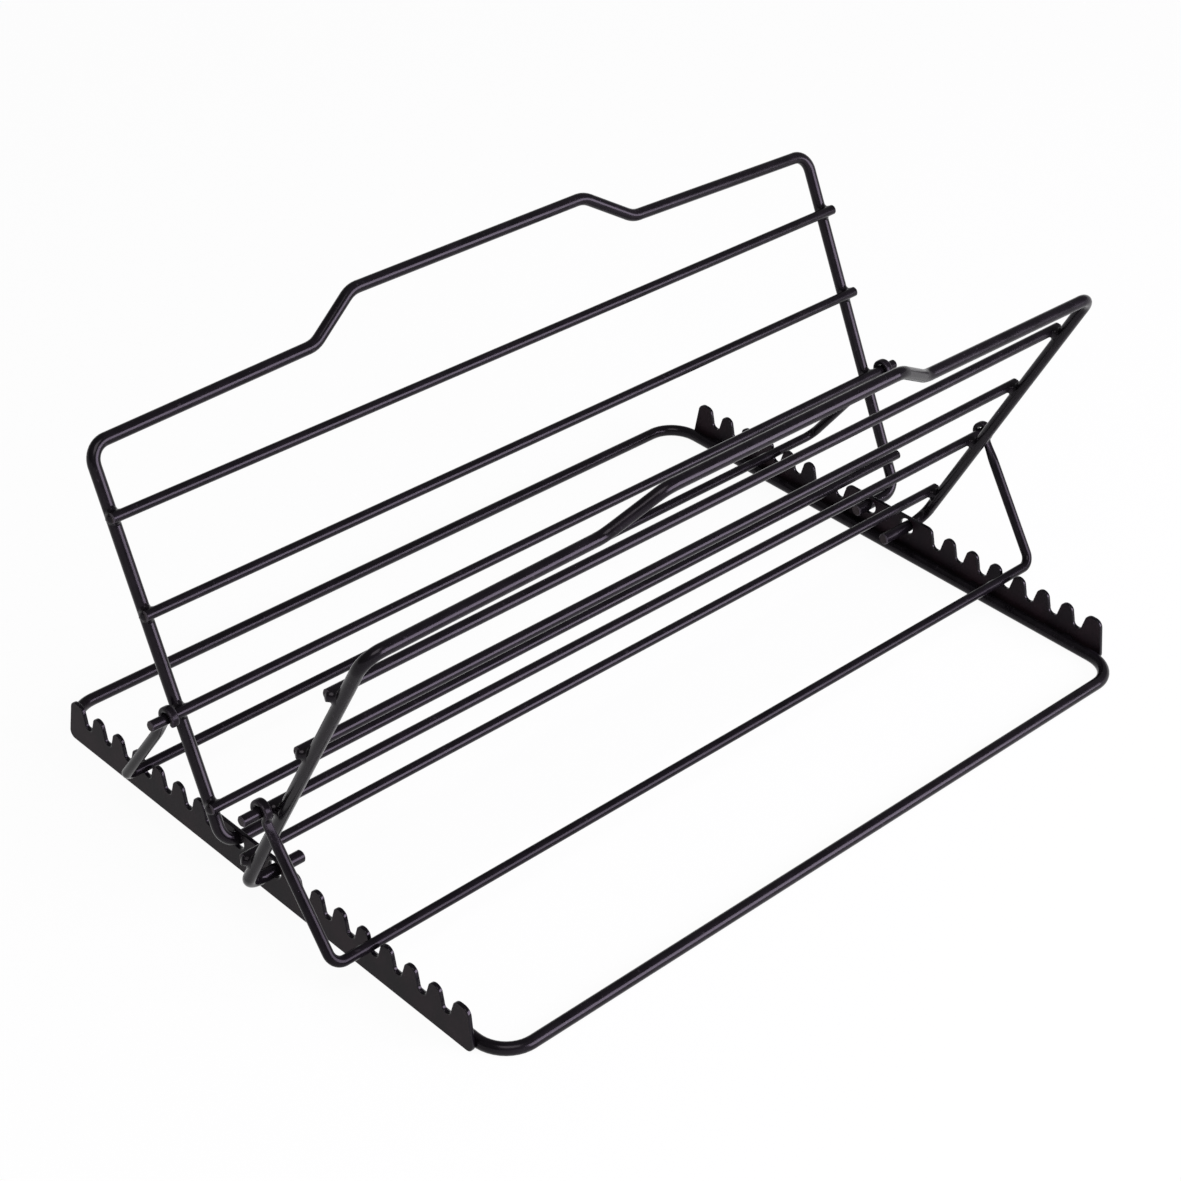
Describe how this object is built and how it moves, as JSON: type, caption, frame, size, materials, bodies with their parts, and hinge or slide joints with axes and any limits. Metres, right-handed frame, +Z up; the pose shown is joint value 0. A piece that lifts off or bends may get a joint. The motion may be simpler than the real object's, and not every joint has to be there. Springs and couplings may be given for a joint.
{
  "type": "adjustable roasting rack",
  "caption": "V-shaped wire roasting rack: two leaning wire panels hinged on a notched wire base, each held at its tilt by a swinging wire prop.",
  "frame": {"origin": "on the table under the middle of the rack's bounding box", "axes": "+Z up, X along the trough and the hinge lines, +Y towards the rear panel"},
  "size_m": [0.3532, 0.227, 0.1469],
  "materials": {
    "wire_coating": "satin black non-stick coating on steel wire",
    "strip_coating": "satin black non-stick coating on stamped steel strip"
  },
  "bodies": {
    "base": {"base_frame": "wire_coating", "left_strip": "strip_coating", "right_strip": "strip_coating"},
    "rear_panel": {"rear_frame": "wire_coating", "rear_wire_1": "wire_coating", "rear_wire_2": "wire_coating", "rear_wire_3": "wire_coating", "rear_wire_4": "wire_coating"},
    "front_panel": {"front_frame": "wire_coating", "front_wire_1": "wire_coating", "front_wire_2": "wire_coating", "front_wire_3": "wire_coating", "front_wire_4": "wire_coating"},
    "rear_prop": {"rear_prop": "wire_coating"},
    "front_prop": {"front_prop": "wire_coating"}
  },
  "joints": [
    {"name": "rear_tilt", "type": "hinge", "parent": "base", "child": "rear_panel", "pos_m": [0, 0.0099, 0.0122], "axis": [1, 0, 0], "range_deg": [0, 28]},
    {"name": "front_tilt", "type": "hinge", "parent": "base", "child": "front_panel", "pos_m": [0, -0.0099, 0.0122], "axis": [-1, 0, 0], "range_deg": [0, 28]},
    {"name": "rear_prop_swing", "type": "hinge", "parent": "rear_panel", "child": "rear_prop", "pos_m": [0, 0.02725, 0.0554], "axis": [1, 0, 0], "range_deg": [0, 7]},
    {"name": "front_prop_swing", "type": "hinge", "parent": "front_panel", "child": "front_prop", "pos_m": [0, -0.02725, 0.0554], "axis": [-1, 0, 0], "range_deg": [0, 7]}
  ],
  "couplings": [
    {"joint": "rear_prop_swing", "follows": "rear_tilt", "ratio": 0.25},
    {"joint": "front_prop_swing", "follows": "front_tilt", "ratio": 0.25}
  ]
}
